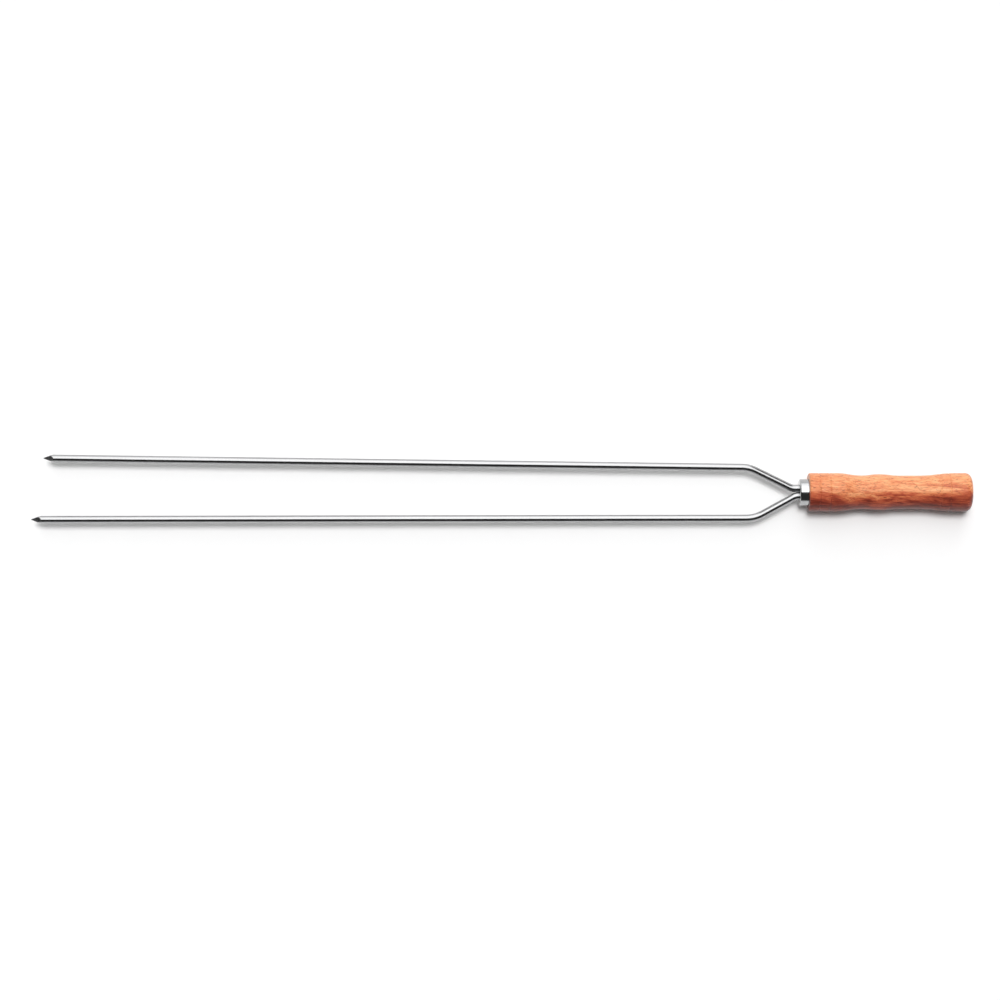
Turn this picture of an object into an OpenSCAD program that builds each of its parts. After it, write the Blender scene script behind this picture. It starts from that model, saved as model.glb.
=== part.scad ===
// Two-pronged barbecue fork: two ground steel bars bent into a fork, a drawn steel ferrule
// and a turned wooden handle.
// The origin is the centre of the flat butt end. The points lie towards -X, up is +Z, and both
// bars and the handle's axis lie in the plane Z = 0. Left and right are as the cook's hand has them.

/* [Handle] */
// Length of the handle from its flat butt to the shoulder that the ferrule meets
handle_len = 130; // [122:1:160]
// Diameter of the two full bands, at the butt and behind the shoulder
grip_d = 30.6; // [28:0.2:36]
// Diameter of the long waist behind the swell
rear_waist_d = 26.6; // [24:0.2:27.6]
// Diameter of the low swell between the fingers
swell_d = 28.8; // [28:0.2:32]
// Diameter of the waist in front of the swell
front_waist_d = 26.8; // [24:0.2:27.6]
// Length of the full band at the butt
butt_band_len = 13; // [8:0.5:20]
// Length of the sweep from the butt band down to the rear waist
rear_sweep_len = 29; // [20:1:32]
// Length of the level part of the rear waist
rear_waist_len = 14; // [4:1:16]
// Length of the sweep from the rear waist up to the swell
swell_back_len = 18; // [12:1:20]
// Length of the sweep from the swell down to the front waist
swell_front_len = 13; // [8:1:16]
// Length of the sweep from the front waist up to the front band
front_sweep_len = 21; // [14:1:24]
// Radius on the edge of the butt
butt_edge_r = 5.3; // [2:0.1:7]
// Radius on the edge of the shoulder
shoulder_edge_r = 1.2; // [0.4:0.1:3]

/* [Ring grooves] */
// Width of each turned ring groove
groove_w = 1.2; // [0.6:0.1:1.6]
// Depth of each turned ring groove
groove_depth = 0.35; // [0.1:0.05:0.5]
// Distance from the shoulder to the first ring groove
front_groove_at = 8.4; // [5:0.1:10]
// Distance between the two front ring grooves
front_groove_pitch = 8.4; // [3:0.1:10]
// Distance from the butt to the last ring groove
rear_groove_at = 18; // [10:0.1:20]
// Distance between the two rear ring grooves
rear_groove_pitch = 7.6; // [3:0.1:10]

/* [Ferrule] */
// Outer diameter of the ferrule
ferrule_d = 21.2; // [19.6:0.2:25]
// Length of the ferrule along the handle
ferrule_len = 7.4; // [5:0.2:12]
// Wall of the ferrule
ferrule_wall = 1; // [0.8:0.1:1.4]
// Radius on the ferrule's front edge
ferrule_edge_r = 1.2; // [0.4:0.1:1.4]

/* [Bars] */
// Diameter of both bars
bar_d = 6; // [5:0.1:7]
// Depth of the bars' ends behind the shoulder, inside the handle
tang_depth = 78; // [40:1:105]
// Radius of the inner bends, on the bar's centre line
inner_bend_r = 10; // [8:0.5:14]
// Radius of the outer bends, on the bar's centre line
outer_bend_r = 27; // [12:1:30]
// Length of the four ground flats that make each point
point_len = 8; // [5:0.5:16]
// Width left across the blunt end of each point
point_end_w = 0.5; // [0.2:0.1:1.2]

/* [Left prong] */
// Reach of the left point in front of the ferrule
left_reach = 612.6; // [300:0.2:800]
// Straight length of the left bar between the ferrule and its first bend
left_neck = 0.2; // [0:0.1:8]
// Angle at which the left bar leaves the handle's axis
left_fork_angle = 28.6; // [20:0.1:36]
// Distance of the left bar's outer corner from the handle's axis
left_spread = 20.8; // [18:0.1:40]
// Angle by which the left prong still opens in front of its outer bend
left_splay = 0.1; // [0:0.02:1.5]

/* [Right prong] */
// Reach of the right point in front of the ferrule
right_reach = 602.8; // [300:0.2:800]
// Straight length of the right bar between the ferrule and its first bend
right_neck = 3.2; // [0:0.1:8]
// Angle at which the right bar leaves the handle's axis
right_fork_angle = 26; // [20:0.1:36]
// Distance of the right bar's outer corner from the handle's axis
right_spread = 19.7; // [18:0.1:40]
// Angle by which the right prong still opens in front of its outer bend
right_splay = 0.76; // [0:0.02:1.5]

/* [Tang] */
// Gap between the two bars where they run side by side
tang_gap = 0.06; // [0.02:0.02:0.2]
// Number of weld beads along each side of the tang
weld_count = 3; // [2:1:4]
// Length of each weld bead
weld_len = 9; // [4:1:9]
// Diameter of each weld bead
weld_d = 2.2; // [1.6:0.1:2.6]
// Depth of the bore beyond the bars' ends
bore_end_gap = 2.5; // [1.5:0.5:6]

/* [Fits] */
// Gap that is left between pressed or glued surfaces
bond_gap = 0.05; // [0.04:0.01:0.1]
// Play around the bars in the ferrule's hole
hole_play = 0.15; // [0.1:0.05:0.3]
// Gap between the spigot's end and the inside of the ferrule's front
spigot_end_gap = 0.3; // [0.1:0.1:0.6]

/* [Hidden] */
$fn = 96;

// The turned outline as stations along the handle, each with its place from the butt and its radius.
// Between two stations the outline runs level, or sweeps in an S that leaves and arrives level.
grip_r = grip_d / 2;
rear_waist_at = butt_band_len + rear_sweep_len;
swell_back_at = rear_waist_at + rear_waist_len;
swell_at = swell_back_at + swell_back_len;
front_waist_at = swell_at + swell_front_len;
front_band_at = front_waist_at + front_sweep_len;
stations = [
    [butt_band_len, grip_r],
    [rear_waist_at, rear_waist_d / 2],
    [swell_back_at, rear_waist_d / 2],
    [swell_at, swell_d / 2],
    [front_waist_at, front_waist_d / 2],
    [front_band_at, grip_r]
];
groove_places = [
    rear_groove_at,
    rear_groove_at + rear_groove_pitch,
    handle_len - front_groove_at - front_groove_pitch,
    handle_len - front_groove_at
];

// The tang: both bars side by side in a round bore, in a spigot that the ferrule is pressed over
bar_r = bar_d / 2;
tang_y = bar_r + tang_gap / 2;
bore_r = tang_y + bar_r + bond_gap;
bore_depth = tang_depth + bore_end_gap;
ferrule_r = ferrule_d / 2;
spigot_r = ferrule_r - ferrule_wall - bond_gap;
spigot_len = ferrule_len - ferrule_wall - spigot_end_gap;

// A bend is this much thicker all round than the bar, as bending upsets it, and the straight
// runs beside it reach this far into it
bend_swell = 0.01;
bend_lap = 0.2;

// Height of the weld beads in the groove between the bars
weld_z = 2;
// The resin ends here, where it would run out to nothing between the bars and beside the bore
resin_lowest_z = 0.9;
resin_side_gap = 0.5;

wood = [0.78, 0.42, 0.28];
steel = [0.72, 0.73, 0.75];
weld_grey = [0.48, 0.48, 0.5];
amber = [0.85, 0.72, 0.45];

// Turns an outline that has X along the handle, from the butt, and Y as the radius
module turned() {
    rotate([0, -90, 0]) rotate_extrude() mirror([1, -1, 0]) children();
}

// Places what is drawn from the shoulder, with X towards the points
module from_shoulder() {
    translate([-handle_len, 0, 0]) mirror([1, 0, 0]) children();
}

// Radius of the two equal arcs of an S with level ends
function sweep_r(run, rise) = (run * run + rise * rise) / (4 * rise);

// Outline under an S, from its high end at X = 0 down to its low end at X = run
module sweep_outline(run, high_r, low_r) {
    arc_r = sweep_r(run, high_r - low_r);
    middle_r = (high_r + low_r) / 2;
    square([run / 2, middle_r]);
    intersection() {
        translate([0, middle_r - 1]) square([run / 2, high_r - middle_r + 2]);
        translate([0, high_r - arc_r]) circle(r = arc_r);
    }
    difference() {
        translate([run / 2, 0]) square([run / 2, middle_r + 1]);
        translate([run, low_r + arc_r]) circle(r = arc_r);
    }
}

// Outline under the stretch between two stations
module stretch_outline(from, to) {
    run = to[0] - from[0];
    if (from[1] == to[1])
        translate([from[0], 0]) square([run, from[1]]);
    else if (from[1] > to[1])
        translate([from[0], 0]) sweep_outline(run, from[1], to[1]);
    else
        translate([to[0], 0]) mirror([1, 0, 0]) sweep_outline(run, to[1], from[1]);
}

// Outline of a plain band whose edge at X = 0 is rounded
module rounded_band(len, radius, edge_r) {
    square([len, radius - edge_r]);
    translate([edge_r, 0]) square([len - edge_r, radius]);
    intersection() {
        translate([-edge_r, radius - edge_r]) square([2 * edge_r, 2 * edge_r]);
        translate([edge_r, radius - edge_r]) circle(r = edge_r);
    }
}

// Height of the outline on one stretch, at a place between its two stations
function stretch_height(from, to, at) =
    let (run = to[0] - from[0], rise = abs(to[1] - from[1]), arc_r = sweep_r(run, max(rise, 0.001)))
    let (high = from[1] > to[1] ? from : to, low = from[1] > to[1] ? to : from)
    let (from_high = abs(at - high[0]), from_low = abs(at - low[0]))
    from_high < from_low
        ? high[1] - arc_r + sqrt(arc_r * arc_r - from_high * from_high)
        : low[1] + arc_r - sqrt(arc_r * arc_r - from_low * from_low);

// Radius of the whole outline at a place along the handle
function outline_height(at, i = 0) =
    at <= stations[0][0] || i + 1 >= len(stations) ? grip_r
    : at <= stations[i + 1][0] ? stretch_height(stations[i], stations[i + 1], at)
    : outline_height(at, i + 1);

// A shallow round-bottomed ring groove that follows the outline
module groove_outline(at) {
    cut_r = (groove_w * groove_w / 4 + groove_depth * groove_depth) / (2 * groove_depth);
    translate([at, outline_height(at) - groove_depth + cut_r]) circle(r = cut_r);
}

module handle() {
    color(wood) turned() difference() {
        union() {
            rounded_band(butt_band_len, grip_r, butt_edge_r);
            for (i = [0 : len(stations) - 2])
                stretch_outline(stations[i], stations[i + 1]);
            translate([handle_len, 0]) mirror([1, 0, 0])
                rounded_band(handle_len - front_band_at, grip_r, shoulder_edge_r);
            translate([handle_len, 0]) square([spigot_len, spigot_r]);
        }
        for (at = groove_places)
            groove_outline(at);
        translate([handle_len - bore_depth, -1]) square([bore_depth + spigot_len + 1, bore_r + 1]);
    }
}

// The hole that both bars pass through side by side: two round ends and a straight middle
module ferrule_hole() {
    hole_r = bar_r + hole_play;
    rotate([0, 90, 0]) linear_extrude(height = ferrule_len + 1) {
        square([2 * hole_r, 2 * tang_y], center = true);
        for (side = [-1, 1])
            intersection() {
                translate([0, side * tang_y]) circle(r = hole_r);
                translate([0, side * (tang_y + hole_r)])
                    square([4 * hole_r, 2 * hole_r], center = true);
            }
    }
}

module ferrule() {
    color(steel) difference() {
        turned() difference() {
            translate([handle_len + ferrule_len, 0]) mirror([1, 0, 0])
                rounded_band(ferrule_len, ferrule_r, ferrule_edge_r);
            translate([handle_len - 1, -1])
                square([ferrule_len - ferrule_wall + 1, ferrule_r - ferrule_wall + 1]);
        }
        from_shoulder() ferrule_hole();
    }
}

// A straight run of bar along X. Its ends reach into the bends beside it, where there is one.
// What follows it starts at its far end.
module run(len, back_lap = bend_lap, front_lap = bend_lap) {
    translate([-back_lap, 0, 0]) rotate([0, 90, 0])
        cylinder(d = bar_d, h = back_lap + len + front_lap);
    translate([len, 0, 0]) children();
}

// A bend of the bar in the plane Z = 0, to the left for a positive angle.
// What follows it starts at its far end, in the new direction.
module bend(radius, angle) {
    side = sign(angle);
    translate([0, side * radius, 0]) {
        rotate([0, 0, side > 0 ? -90 : 90 + angle]) rotate_extrude(angle = abs(angle))
            translate([radius, 0]) circle(r = bar_r + bend_swell);
        rotate([0, 0, angle]) translate([0, -side * radius, 0]) children();
    }
}

// The last straight run of a prong, ground on four sides to a blunt point
module pointed_run(len) {
    grind_angle = atan((bar_r - point_end_w / 2) / point_len);
    difference() {
        run(len, front_lap = 0);
        for (turn = [0 : 90 : 270])
            rotate([turn, 0, 0]) translate([len - point_len, bar_r, 0]) rotate([0, 0, -grind_angle])
                translate([-bar_d, 0, -bar_d]) cube([point_len + 3 * bar_d, bar_d, 2 * bar_d]);
    }
}

// One bar from its tang to its point, drawn from the shoulder and opening towards +Y
module prong(reach, neck, fork_angle, spread, splay) {
    back_angle = fork_angle - splay;
    inner_tangent = inner_bend_r * tan(fork_angle / 2);
    outer_tangent = outer_bend_r * tan(back_angle / 2);
    rise = spread - tang_y;
    slant_len = rise / sin(fork_angle) - inner_tangent - outer_tangent;
    outer_corner_at = neck + inner_tangent + rise / tan(fork_angle);
    prong_len = (reach - outer_corner_at) / cos(splay) - outer_tangent;
    translate([-tang_depth, tang_y, 0])
        run(tang_depth + ferrule_len + neck, back_lap = 0)
        bend(inner_bend_r, fork_angle)
        run(slant_len)
        bend(outer_bend_r, -back_angle)
        pointed_run(prong_len);
}

module right_prong() {
    color(steel) from_shoulder()
        prong(right_reach, right_neck, right_fork_angle, right_spread, right_splay);
}

module left_prong() {
    color(steel) from_shoulder() mirror([0, 1, 0])
        prong(left_reach, left_neck, left_fork_angle, left_spread, left_splay);
}

// Both bars' tangs, drawn from the shoulder and made larger all round by a gap
module tang_space(gap) {
    for (side = [-1, 1])
        translate([-tang_depth - gap, side * tang_y, 0]) rotate([0, 90, 0])
            cylinder(r = bar_r + gap, h = tang_depth + ferrule_len + gap);
}

// The weld beads along both sides of the tang, drawn from the shoulder, larger by a gap
module weld_beads(gap) {
    bead_pitch = tang_depth / weld_count;
    bead_r = weld_d / 2 + gap;
    half_len = weld_len / 2 + gap;
    for (i = [1 : weld_count], side = [-1, 1])
        translate([-(i - 0.5) * bead_pitch, 0, side * weld_z]) rotate([0, -90, 0]) rotate_extrude()
            mirror([1, -1, 0]) for (end = [0, 1])
                mirror([end, 0, 0]) translate([-half_len, 0])
                    rounded_band(half_len, bead_r, bead_r * 0.8);
}

module tang_welds() {
    color(weld_grey) from_shoulder() difference() {
        weld_beads(0);
        tang_space(bond_gap / 2);
    }
}

// Filler in the bore above, below and behind the two bars
module tang_resin() {
    plug_r = bore_r - bond_gap;
    side_w = 2 * (tang_y + bar_r - resin_side_gap);
    back_x = -bore_depth + bond_gap;
    front_x = -tang_depth - bond_gap;
    color(amber) from_shoulder() {
        difference() {
            intersection() {
                translate([back_x, 0, 0]) rotate([0, 90, 0])
                    cylinder(r = plug_r, h = spigot_len - back_x);
                translate([back_x - 1, -side_w / 2, -bore_r])
                    cube([spigot_len - back_x + 2, side_w, 2 * bore_r]);
            }
            tang_space(bond_gap);
            weld_beads(bond_gap);
            translate([front_x, -bore_r, -resin_lowest_z])
                cube([bore_depth + ferrule_len, 2 * bore_r, 2 * resin_lowest_z]);
        }
    }
}

handle();
ferrule();
left_prong();
right_prong();
tang_welds();
tang_resin();
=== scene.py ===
# %% [markdown]
# A two-pronged barbecue fork lies on a white table and is seen from straight above.
# Two round steel bars are bent into a fork, a polished ferrule holds them, and the handle
# is turned from a reddish hardwood and varnished.
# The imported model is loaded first. It is the frame: every size and place below follows it.

# %% Load the frame
import math

import bmesh
import bpy
from mathutils import Matrix, Vector


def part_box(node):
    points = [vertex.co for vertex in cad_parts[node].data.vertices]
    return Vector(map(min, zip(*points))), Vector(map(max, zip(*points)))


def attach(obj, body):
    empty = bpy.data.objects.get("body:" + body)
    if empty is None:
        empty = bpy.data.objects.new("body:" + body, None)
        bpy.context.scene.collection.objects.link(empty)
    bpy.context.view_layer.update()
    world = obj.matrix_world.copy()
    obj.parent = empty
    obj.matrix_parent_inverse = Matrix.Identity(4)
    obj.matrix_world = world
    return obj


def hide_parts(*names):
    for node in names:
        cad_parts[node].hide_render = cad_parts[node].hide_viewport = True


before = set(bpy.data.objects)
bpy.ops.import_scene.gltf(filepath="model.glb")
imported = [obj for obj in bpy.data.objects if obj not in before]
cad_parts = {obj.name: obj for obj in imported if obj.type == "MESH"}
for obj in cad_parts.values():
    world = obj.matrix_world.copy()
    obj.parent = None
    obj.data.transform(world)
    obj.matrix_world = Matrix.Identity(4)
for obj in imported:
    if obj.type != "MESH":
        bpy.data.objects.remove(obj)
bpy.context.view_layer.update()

MM = 0.001
print("nodes in the frame:", sorted(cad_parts))

# %% [markdown]
# The camera looks straight down. A long lens far away keeps both ends of the fork true, as a
# product photographer would, because a short one would show the handle's end faces.
# The picture is a square, so the width that it shows sets the camera's height.

# %% Camera
VIEW_WIDTH = 798 * MM
VIEW_CENTRE = Vector((-376.0 * MM, -6.2 * MM, 0.0))
LENS = 100.0
SENSOR = 36.0
FAR_CLIP = 100.0


def add_camera():
    """Makes the camera above the fork and returns it."""
    data = bpy.data.cameras.new("camera")
    data.lens = LENS
    data.sensor_width = SENSOR
    camera = bpy.data.objects.new("camera", data)
    bpy.context.scene.collection.objects.link(camera)
    height = VIEW_WIDTH * LENS / SENSOR
    camera.location = VIEW_CENTRE + Vector((0.0, 0.0, height))
    data.clip_end = FAR_CLIP
    bpy.context.scene.camera = camera
    return camera


camera = add_camera()
print("camera height above the fork: %.3f m" % camera.location.z)

# %% [markdown]
# Materials are small node trees, and two helpers keep them readable: one adds a node with its
# settings and plain input values, the other starts a material with the shader and its output.

# %% Helpers for materials


def add_node(tree, kind, settings=None, **inputs):
    """Adds a node. Settings are its properties, and inputs are values or sockets to link."""
    node = tree.nodes.new(kind)
    for name, value in (settings or {}).items():
        setattr(node, name, value)
    for name, value in inputs.items():
        # A name such as _6 is the socket's number, where several sockets share one name
        if name.startswith("_"):
            socket = node.inputs[int(name[1:])]
        else:
            socket = node.inputs[name.replace("_", " ")]
        if isinstance(value, bpy.types.NodeSocket):
            tree.links.new(value, socket)
        else:
            socket.default_value = value
    return node


def new_material(name):
    """Starts a material and returns it with its tree and its shader."""
    material = bpy.data.materials.new(name)
    material.use_nodes = True
    tree = material.node_tree
    tree.nodes.clear()
    shader = tree.nodes.new("ShaderNodeBsdfPrincipled")
    output = tree.nodes.new("ShaderNodeOutputMaterial")
    tree.links.new(shader.outputs["BSDF"], output.inputs["Surface"])
    return material, tree, shader


def math_node(tree, operation, first, second=None):
    """Adds a Math node and returns its output."""
    node = tree.nodes.new("ShaderNodeMath")
    node.operation = operation
    for socket, value in zip(node.inputs, (first, second)):
        if isinstance(value, bpy.types.NodeSocket):
            tree.links.new(value, socket)
        elif value is not None:
            socket.default_value = value
    return node.outputs[0]


def ramp_node(tree, factor, stops):
    """Adds a Color Ramp with (position, colour) stops and returns its colour output."""
    node = tree.nodes.new("ShaderNodeValToRGB")
    elements = node.color_ramp.elements
    while len(elements) < len(stops):
        elements.new(1.0)
    for element, (position, colour) in zip(elements, stops):
        element.position = position
        element.color = (*colour, 1.0)
    tree.links.new(factor, node.inputs["Fac"])
    return node.outputs["Color"]


# %% [markdown]
# The light is a painted studio: a pale wall near the horizon, a dim ceiling above it, and one
# long softbox that leans over the fork from the far side. It is painted on the world, so the
# bars get the same reflection along their whole length. A sun adds the short, soft shadow.

# %% World and lamps
WALL_LEVEL = 0.9
CEILING_LEVEL = 0.045
SOFTBOX_TOP_LEVEL = 2.5
SOFTBOX_LOW_LEVEL = 1.8
WALL_FADE = (0.21, 0.15)
SOFTBOX_NEAR_EDGE = (math.radians(-4), math.radians(2))
SOFTBOX_FAR_EDGE = (math.radians(86), math.radians(78))
SOFTBOX_SIDE_EDGE = (0.37, 0.27)
SOFTBOX_GLOW = (math.radians(35), math.radians(80))


def smooth_step(tree, value, start, end, low=0.0, high=1.0):
    """Goes smoothly from low to high while the value goes from start to end."""
    return add_node(tree, "ShaderNodeMapRange", {"interpolation_type": "SMOOTHSTEP"}, Value=value,
                    From_Min=start, From_Max=end, To_Min=low, To_Max=high).outputs[0]


def paint_world():
    """Paints the wall, the ceiling and the softbox on the world by direction."""
    world = bpy.data.worlds.new("studio")
    bpy.context.scene.world = world
    world.use_nodes = True
    tree = world.node_tree
    tree.nodes.clear()
    direction = add_node(tree, "ShaderNodeTexCoord").outputs["Generated"]
    x, y, z = add_node(tree, "ShaderNodeSeparateXYZ", _0=direction).outputs
    room = smooth_step(tree, z, *WALL_FADE, CEILING_LEVEL, WALL_LEVEL)
    # The softbox lies between two angles from the zenith towards +Y, and within a width along X
    lean = math_node(tree, "ARCTAN2", y, z)
    near_edge = smooth_step(tree, lean, *SOFTBOX_NEAR_EDGE)
    far_edge = smooth_step(tree, lean, *SOFTBOX_FAR_EDGE)
    side_edge = smooth_step(tree, math_node(tree, "ABSOLUTE", x), *SOFTBOX_SIDE_EDGE)
    box = math_node(tree, "MULTIPLY", math_node(tree, "MULTIPLY", near_edge, far_edge), side_edge)
    glow = smooth_step(tree, lean, *SOFTBOX_GLOW, SOFTBOX_TOP_LEVEL, SOFTBOX_LOW_LEVEL)
    level = math_node(tree, "ADD", room, math_node(tree, "MULTIPLY", box, glow))
    background = add_node(tree, "ShaderNodeBackground", Color=(1.0, 1.0, 1.0, 1.0), Strength=level)
    output = tree.nodes.new("ShaderNodeOutputWorld")
    tree.links.new(background.outputs[0], output.inputs["Surface"])


paint_world()
print("softbox level: %.1f above, %.1f low down" % (SOFTBOX_TOP_LEVEL, SOFTBOX_LOW_LEVEL))

SUN_LEAN = math.radians(15)
SUN_WIDTH = math.radians(16)
SUN_STRENGTH = 1.9


def add_sun():
    """Adds the sun that gives the shadow. It leaves no highlight of its own on the varnish."""
    data = bpy.data.lights.new("sun", "SUN")
    data.angle = SUN_WIDTH
    data.energy = SUN_STRENGTH
    sun = bpy.data.objects.new("sun", data)
    sun.rotation_euler = (-SUN_LEAN, 0.0, 0.0)
    sun.visible_glossy = False
    bpy.context.scene.collection.objects.link(sun)


add_sun()

# %% [markdown]
# The table is one large white sheet just under the handle's two full bands, which carry it.
# Eyes and mirrors see it a little brighter than the light alone makes it, so that it reads as
# the white ground of the photo, while it throws no more light on the fork.

# %% Table
TABLE_SIZE = 60.0
TABLE_WHITE = (0.9, 0.9, 0.9, 1.0)
TABLE_ROUGHNESS = 0.9
TABLE_LIFT = 0.03
TABLE_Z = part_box("handle")[0].z


def add_table():
    """Makes the white table."""
    mesh = bpy.data.meshes.new("table")
    bm = bmesh.new()
    bmesh.ops.create_grid(bm, x_segments=1, y_segments=1, size=TABLE_SIZE / 2)
    bmesh.ops.translate(bm, verts=bm.verts, vec=(0.0, 0.0, TABLE_Z))
    bm.to_mesh(mesh)
    bm.free()
    table = bpy.data.objects.new("table", mesh)
    bpy.context.scene.collection.objects.link(table)
    material, tree, shader = new_material("table_white")
    shader.inputs["Base Color"].default_value = TABLE_WHITE
    shader.inputs["Roughness"].default_value = TABLE_ROUGHNESS
    shader.inputs["Specular IOR Level"].default_value = 0.0
    path = add_node(tree, "ShaderNodeLightPath")
    seen = math_node(tree, "MAXIMUM", path.outputs["Is Camera Ray"], path.outputs["Is Glossy Ray"])
    seen = math_node(tree, "MAXIMUM", seen, path.outputs["Is Transmission Ray"])
    shader.inputs["Emission Color"].default_value = (1.0, 1.0, 1.0, 1.0)
    tree.links.new(math_node(tree, "MULTIPLY", seen, TABLE_LIFT), shader.inputs["Emission Strength"])
    mesh.materials.append(material)


add_table()
print("table top at %.2f mm" % (TABLE_Z / MM))

# %% [markdown]
# The handle is a reddish hardwood. Its colour holds painted light and shade: the side that faces
# the softbox and the sun, up and towards +Y, is painted golden orange, and the far side red-brown,
# along a wavy edge. Because it is turned from solid timber, the grain is a solid pattern in Object
# coordinates: a wavy figure and fine fibres are the same noise, stretched more and more along the
# grain, and one more such noise makes the edge of the painted light wavy. Short dark pores and a
# clear varnish finish it.

# %% Varnished wood
WOOD_TONES = [
    (0.00, (0.090, 0.014, 0.008)),
    (0.22, (0.250, 0.038, 0.020)),
    (0.42, (0.480, 0.095, 0.044)),
    (0.60, (0.640, 0.190, 0.078)),
    (0.80, (0.790, 0.345, 0.155)),
    (1.00, (0.870, 0.460, 0.230)),
]
# Painted light and shade: the direction that faces the lamps, how wide the fade to the far side is, the
# tones of the shaded and the lit side, and how far a noise moves that edge
LIT_SIDE_DIRECTION = (0.0, 0.93, 0.30)
LIT_SIDE_FADE = (-11 * MM, 13 * MM)
SHADED_AND_LIT_TONES = (0.15, 0.78)
LIT_EDGE_WANDER = 34 * MM
PORE_COLOUR = (0.14, 0.035, 0.02, 1.0)
PORE_FADE = (0.30, 0.38)
TIMBER_TURN = (0.0, 0.02, 0.045)

# Each pattern: how much longer than wide its marks are, and how fine and how rough they are
LIT_EDGE_WOBBLE = {"stretch": 4.5, "scale": 95.0, "detail": 2.0, "distortion": 0.8}
FIGURE = {"stretch": 7.0, "scale": 420.0, "detail": 6.0, "distortion": 1.6}
FIBRES = {"stretch": 26.0, "scale": 1900.0, "detail": 3.0}
PORES = {"stretch": 11.0, "scale": 2600.0, "detail": 1.0}
VARNISH_SKIN = {"stretch": 3.0, "scale": 260.0, "detail": 2.0}


def stretched_noise(tree, place, stretch, scale, detail, distortion=0.0):
    """Noise that runs along the grain: the stretch is its length over its width."""
    along = add_node(tree, "ShaderNodeMapping", Vector=place, Scale=(1.0 / stretch, 1.0, 1.0))
    noise = add_node(tree, "ShaderNodeTexNoise", Vector=along.outputs[0], Scale=scale,
                     Detail=detail, Roughness=0.6, Distortion=distortion)
    return noise.outputs[0]


def weighted(tree, total, value, weight):
    """Adds a noise value to a tone, counted from its middle."""
    return math_node(tree, "ADD", total,
                     math_node(tree, "MULTIPLY", math_node(tree, "SUBTRACT", value, 0.5), weight))


def varnished_wood():
    """Builds the handle's material on Object coordinates."""
    material, tree, shader = new_material("varnished_wood")
    place = add_node(tree, "ShaderNodeTexCoord").outputs["Object"]
    timber = add_node(tree, "ShaderNodeMapping", Vector=place, Rotation=TIMBER_TURN).outputs[0]
    lit_edge_wobble = stretched_noise(tree, timber, **LIT_EDGE_WOBBLE)
    figure = stretched_noise(tree, timber, **FIGURE)
    fibres = stretched_noise(tree, timber, **FIBRES)
    pores = stretched_noise(tree, timber, **PORES)
    # Painted light and shade: the tone grows towards the side that faces the lamps, along a wavy edge
    across = add_node(tree, "ShaderNodeVectorMath", {"operation": "DOT_PRODUCT"}, _0=place,
                      _1=LIT_SIDE_DIRECTION).outputs["Value"]
    wander = math_node(tree, "MULTIPLY", math_node(tree, "SUBTRACT", lit_edge_wobble, 0.5), LIT_EDGE_WANDER)
    across = math_node(tree, "ADD", across, wander)
    side = smooth_step(tree, across, *LIT_SIDE_FADE, *SHADED_AND_LIT_TONES)
    stripes = add_node(tree, "ShaderNodeMapping", Vector=timber, Scale=(0.10, 1.0, 1.0)).outputs[0]
    growth = add_node(tree, "ShaderNodeTexWave", {"bands_direction": "DIAGONAL", "wave_profile": "SAW"},
                      Vector=stripes, Scale=38.0, Distortion=7.0, Detail=3.0, _4=1.4).outputs["Fac"]
    # The grain's own colour goes on top of the painted light and shade
    tone = weighted(tree, side, figure, 1.05)
    tone = weighted(tree, tone, growth, 0.16)
    tone = weighted(tree, tone, fibres, 0.35)
    colour = ramp_node(tree, tone, WOOD_TONES)
    pore = smooth_step(tree, pores, *PORE_FADE)
    dark_pore = add_node(tree, "ShaderNodeMix", {"data_type": "RGBA", "blend_type": "MIX"}, _0=pore,
                         _6=PORE_COLOUR, _7=colour)
    tree.links.new(dark_pore.outputs[2], shader.inputs["Base Color"])
    shader.inputs["Roughness"].default_value = 0.45
    shader.inputs["Specular IOR Level"].default_value = 0.2
    shader.inputs["Coat Weight"].default_value = 0.28
    shader.inputs["Coat Roughness"].default_value = 0.10
    shader.inputs["Coat IOR"].default_value = 1.45
    grain = add_node(tree, "ShaderNodeBump", Strength=0.35, Distance=0.0002, Height=fibres)
    tree.links.new(grain.outputs[0], shader.inputs["Normal"])
    skin = stretched_noise(tree, timber, **VARNISH_SKIN)
    coat = add_node(tree, "ShaderNodeBump", Strength=0.25, Distance=0.0004, Height=skin)
    tree.links.new(coat.outputs[0], shader.inputs["Coat Normal"])
    return material


# %% [markdown]
# The bars are drawn stainless stock, polished lengthwise, so fine marks run along them. On a
# bent bar those marks follow the bend. The prongs therefore carry a point attribute with the
# place that each point had while the bar was still straight, and the marks are painted there.

# %% Steel
DARK_MARK = 0.88
FINEST_POLISH = 0.75
COARSEST_POLISH = 1.3


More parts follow.
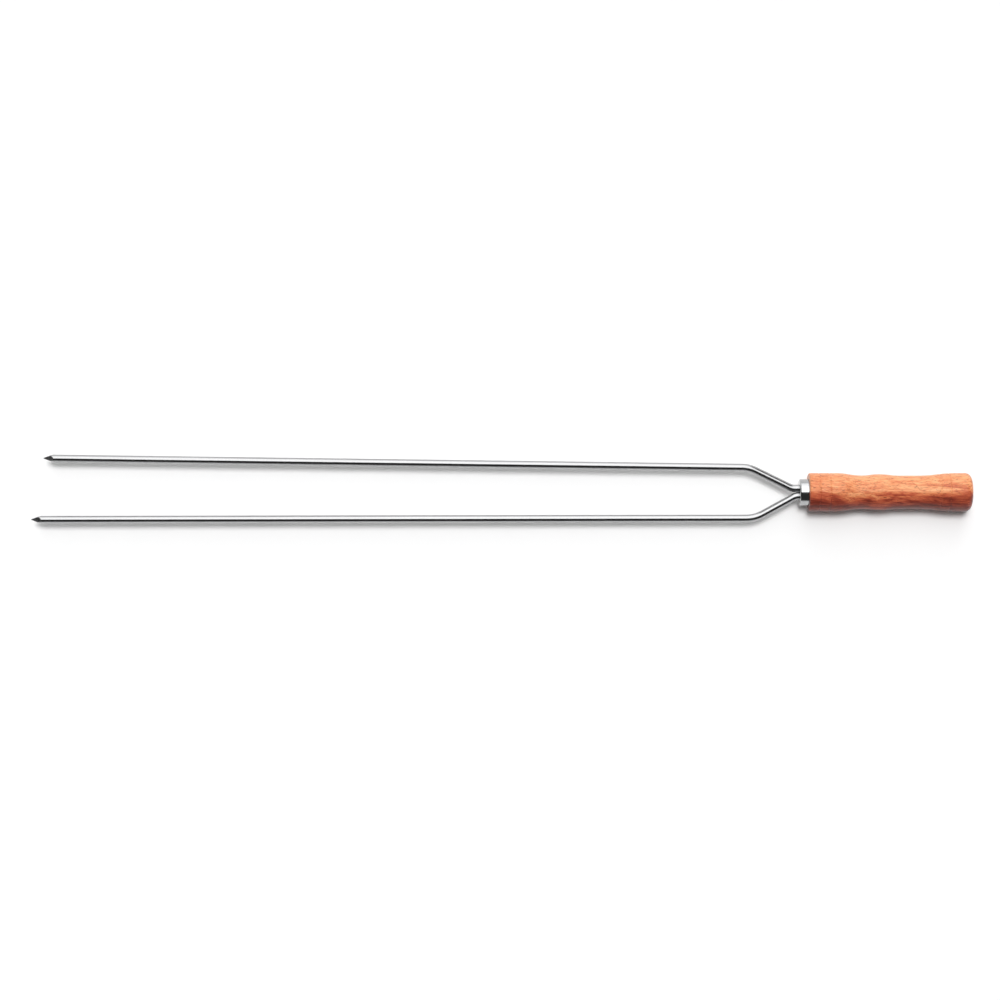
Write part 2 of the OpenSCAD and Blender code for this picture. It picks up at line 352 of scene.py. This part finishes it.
def marked_steel(name, colour, roughness, place_name=None, stretch=60.0, scale=2600.0, turn=(0, 0, 0)):
    """Builds a metal with fine polish marks along its X, or along X after a turn."""
    material, tree, shader = new_material(name)
    if place_name:
        place = add_node(tree, "ShaderNodeAttribute", {"attribute_name": place_name}).outputs["Vector"]
    else:
        place = add_node(tree, "ShaderNodeTexCoord").outputs["Object"]
    turned = add_node(tree, "ShaderNodeMapping", Vector=place, Rotation=turn).outputs[0]
    marks = stretched_noise(tree, turned, stretch, scale, 4.0)
    cloud = stretched_noise(tree, turned, 4.0, 60.0, 3.0)
    mixed = weighted(tree, marks, cloud, 0.5)
    rough = add_node(tree, "ShaderNodeMapRange", Value=mixed, From_Min=0.3, From_Max=0.7,
                     To_Min=roughness * FINEST_POLISH, To_Max=roughness * COARSEST_POLISH).outputs[0]
    tree.links.new(rough, shader.inputs["Roughness"])
    darker = tuple(DARK_MARK * part for part in colour)
    tree.links.new(ramp_node(tree, mixed, [(0.3, darker), (0.7, colour)]), shader.inputs["Base Color"])
    shader.inputs["Metallic"].default_value = 1.0
    bump = add_node(tree, "ShaderNodeBump", Strength=0.06, Distance=0.00005, Height=marks)
    tree.links.new(bump.outputs[0], shader.inputs["Normal"])
    return material


def dress(node, material):
    """Puts one material on every slot of a CAD node."""
    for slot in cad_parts[node].material_slots:
        slot.material = material


dress("handle", varnished_wood())
dress("ferrule", marked_steel("ferrule_steel", (0.47, 0.475, 0.48), 0.13, turn=(0, 0, math.radians(90))))
dress("tang_welds", marked_steel("weld_steel", (0.40, 0.40, 0.41), 0.4, stretch=2.0, scale=900.0))
dress("tang_resin", marked_steel("tang_filler", (0.62, 0.50, 0.28), 0.5, stretch=1.5, scale=500.0))
print("materials so far:", sorted(material.name for material in bpy.data.materials))

# %% [markdown]
# Each prong is one round bar. It starts as a circle at the hidden end of the tang and is drawn
# forward like a wire in a bending jig: extruding the ring makes a straight run, and spinning it
# about a centre makes a bend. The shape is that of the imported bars, with rounder bends and sides.

# %% Bar sizes
BAR_RADIUS = 3.0 * MM
BAR_SIDES = 48
SHOULDER_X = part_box("ferrule")[1].x
FERRULE_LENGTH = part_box("ferrule")[1].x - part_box("ferrule")[0].x
TANG_START_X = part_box("left_prong")[1].x
TANG_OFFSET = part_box("right_prong")[0].y + BAR_RADIUS
INNER_BEND = 10.0 * MM
OUTER_BEND = 27.0 * MM
INNER_STEPS = 10
OUTER_STEPS = 16
POINT_LENGTH = 8.0 * MM
POINT_END = 0.5 * MM
SHARP_EDGE = math.radians(10)
print("shoulder at %.1f mm, tang starts at %.1f mm" % (SHOULDER_X / MM, TANG_START_X / MM))

# %% Drawing a bar


def ring_parts(made):
    """Splits what an operator made into its vertices and the edges between them."""
    verts = [part for part in made if isinstance(part, bmesh.types.BMVert)]
    inside = set(verts)
    edges = [part for part in made if isinstance(part, bmesh.types.BMEdge) and set(part.verts) <= inside]
    return verts, edges


class BarPen:
    """Draws a bar forward from its tang and notes each point's place on the straight bar."""

    def __init__(self, start, heading):
        self.bm = bmesh.new()
        self.unbent = self.bm.verts.layers.float_vector.new("unbent")
        self.place, self.heading, self.travelled = start, heading, 0.0
        facing = Matrix.Translation(start) @ Matrix.Rotation(math.radians(90), 4, "Y")
        made = bmesh.ops.create_circle(self.bm, segments=BAR_SIDES, radius=BAR_RADIUS, matrix=facing)
        self.verts = made["verts"]
        self.edges = list({edge for vert in self.verts for edge in vert.link_edges})
        bmesh.ops.edgeloop_fill(self.bm, edges=self.edges)
        self.note()

    def note(self):
        """Writes the straight bar's coordinates on the newest ring."""
        across = self.heading.cross(Vector((0.0, 0.0, 1.0)))
        for vert in self.verts:
            offset = vert.co - self.place
            vert[self.unbent] = (self.travelled, offset.dot(across), offset.z)

    def straight(self, length):
        """Extrudes the newest ring forward."""
        made = bmesh.ops.extrude_edge_only(self.bm, edges=self.edges)["geom"]
        self.verts, self.edges = ring_parts(made)
        step = self.heading * length
        bmesh.ops.translate(self.bm, verts=self.verts, vec=step)
        self.place = self.place + step
        self.travelled += length
        self.note()

    def bend(self, radius, angle, steps):
        """Spins the newest ring about a centre beside it, to the left for a positive angle."""
        left = Vector((0.0, 0.0, 1.0)).cross(self.heading)
        centre = self.place + left * math.copysign(radius, angle)
        turn = Matrix.Rotation(angle / steps, 3, "Z")
        for _ in range(steps):
            made = bmesh.ops.spin(self.bm, geom=self.edges, cent=centre, axis=(0.0, 0.0, 1.0),
                                  angle=angle / steps, steps=1, use_duplicate=False)
            self.verts, self.edges = ring_parts(made["geom_last"])
            self.place = centre + turn @ (self.place - centre)
            self.heading = turn @ self.heading
            self.travelled += radius * abs(angle) / steps
            self.note()


def grind_point(pen):
    """Cuts four flats to a blunt point, as a grinder does, and closes each cut."""
    bmesh.ops.edgeloop_fill(pen.bm, edges=pen.edges)
    slope = math.atan2(BAR_RADIUS - POINT_END / 2, POINT_LENGTH)
    up = Vector((0.0, 0.0, 1.0))
    across = pen.heading.cross(up)
    for outward in (up, across, -up, -across):
        edge_of_flat = pen.place - pen.heading * POINT_LENGTH + outward * BAR_RADIUS
        normal = outward * math.cos(slope) + pen.heading * math.sin(slope)
        made = bmesh.ops.bisect_plane(pen.bm, geom=pen.bm.verts[:] + pen.bm.edges[:] + pen.bm.faces[:],
                                      plane_co=edge_of_flat, plane_no=normal, clear_outer=True, dist=1e-7)
        cut = [part for part in made["geom_cut"] if isinstance(part, bmesh.types.BMEdge)]
        bmesh.ops.edgeloop_fill(pen.bm, edges=cut, mat_nr=1)


def add_prong(name, side, reach, neck, fork_angle, spread, splay, materials):
    """Draws one whole bar from its tang to its point. The side is +1 for right and -1 for left."""
    fork, back = math.radians(fork_angle), math.radians(fork_angle - splay)
    rise = spread - TANG_OFFSET
    slant = rise / math.sin(fork) - INNER_BEND * math.tan(fork / 2) - OUTER_BEND * math.tan(back / 2)
    corner = neck + INNER_BEND * math.tan(fork / 2) + rise / math.tan(fork)
    prong = (reach - corner) / math.cos(math.radians(splay)) - OUTER_BEND * math.tan(back / 2)
    pen = BarPen(Vector((TANG_START_X, side * TANG_OFFSET, 0.0)), Vector((-1.0, 0.0, 0.0)))
    pen.straight(TANG_START_X - SHOULDER_X + FERRULE_LENGTH + neck)
    pen.bend(INNER_BEND, -side * fork, INNER_STEPS)
    pen.straight(slant)
    pen.bend(OUTER_BEND, side * back, OUTER_STEPS)
    pen.straight(prong)
    grind_point(pen)
    bmesh.ops.recalc_face_normals(pen.bm, faces=pen.bm.faces)
    for face in pen.bm.faces:
        face.smooth = len(face.verts) == 4
    for edge in pen.bm.edges:
        edge.smooth = not edge.is_manifold or edge.calc_face_angle() < SHARP_EDGE
    mesh = bpy.data.meshes.new(name)
    pen.bm.to_mesh(mesh)
    pen.bm.free()
    for material in materials:
        mesh.materials.append(material)
    piece = bpy.data.objects.new(name, mesh)
    bpy.context.scene.collection.objects.link(piece)
    print("%s: bar of %.1f mm, %d faces, ends at %.1f mm"
          % (name, pen.travelled / MM, len(mesh.polygons), min(v.co.x for v in mesh.vertices) / MM))
    return piece


# %% [markdown]
# The two bars aren't mirror images. The left one reaches further, and the right one opens a
# little towards its point. Their reach and neck are counted from the ferrule's front edge, and
# the spread is how far the bar lies from the fork's middle where the outer bend's corner is.

# %% Both prongs
bar_steel = marked_steel("bar_steel", (0.43, 0.43, 0.435), 0.19, place_name="unbent")
ground_steel = marked_steel("ground_steel", (0.44, 0.44, 0.45), 0.3, place_name="unbent",
                            stretch=14.0, turn=(0, 0, math.radians(90)))
left_prong = add_prong("left_prong_bar", -1, reach=612.6 * MM, neck=0.2 * MM, fork_angle=28.6,
                       spread=20.8 * MM, splay=0.1, materials=[bar_steel, ground_steel])
right_prong = add_prong("right_prong_bar", 1, reach=602.8 * MM, neck=3.2 * MM, fork_angle=26.0,
                        spread=19.7 * MM, splay=0.76, materials=[bar_steel, ground_steel])
for piece, node in ((left_prong, "left_prong"), (right_prong, "right_prong")):
    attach(piece, "root")
    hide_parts(node)
    dress(node, bar_steel)

# %% [markdown]
# Last, the view transform is set to Standard.

# %% Finish
bpy.context.scene.view_settings.view_transform = "Standard"
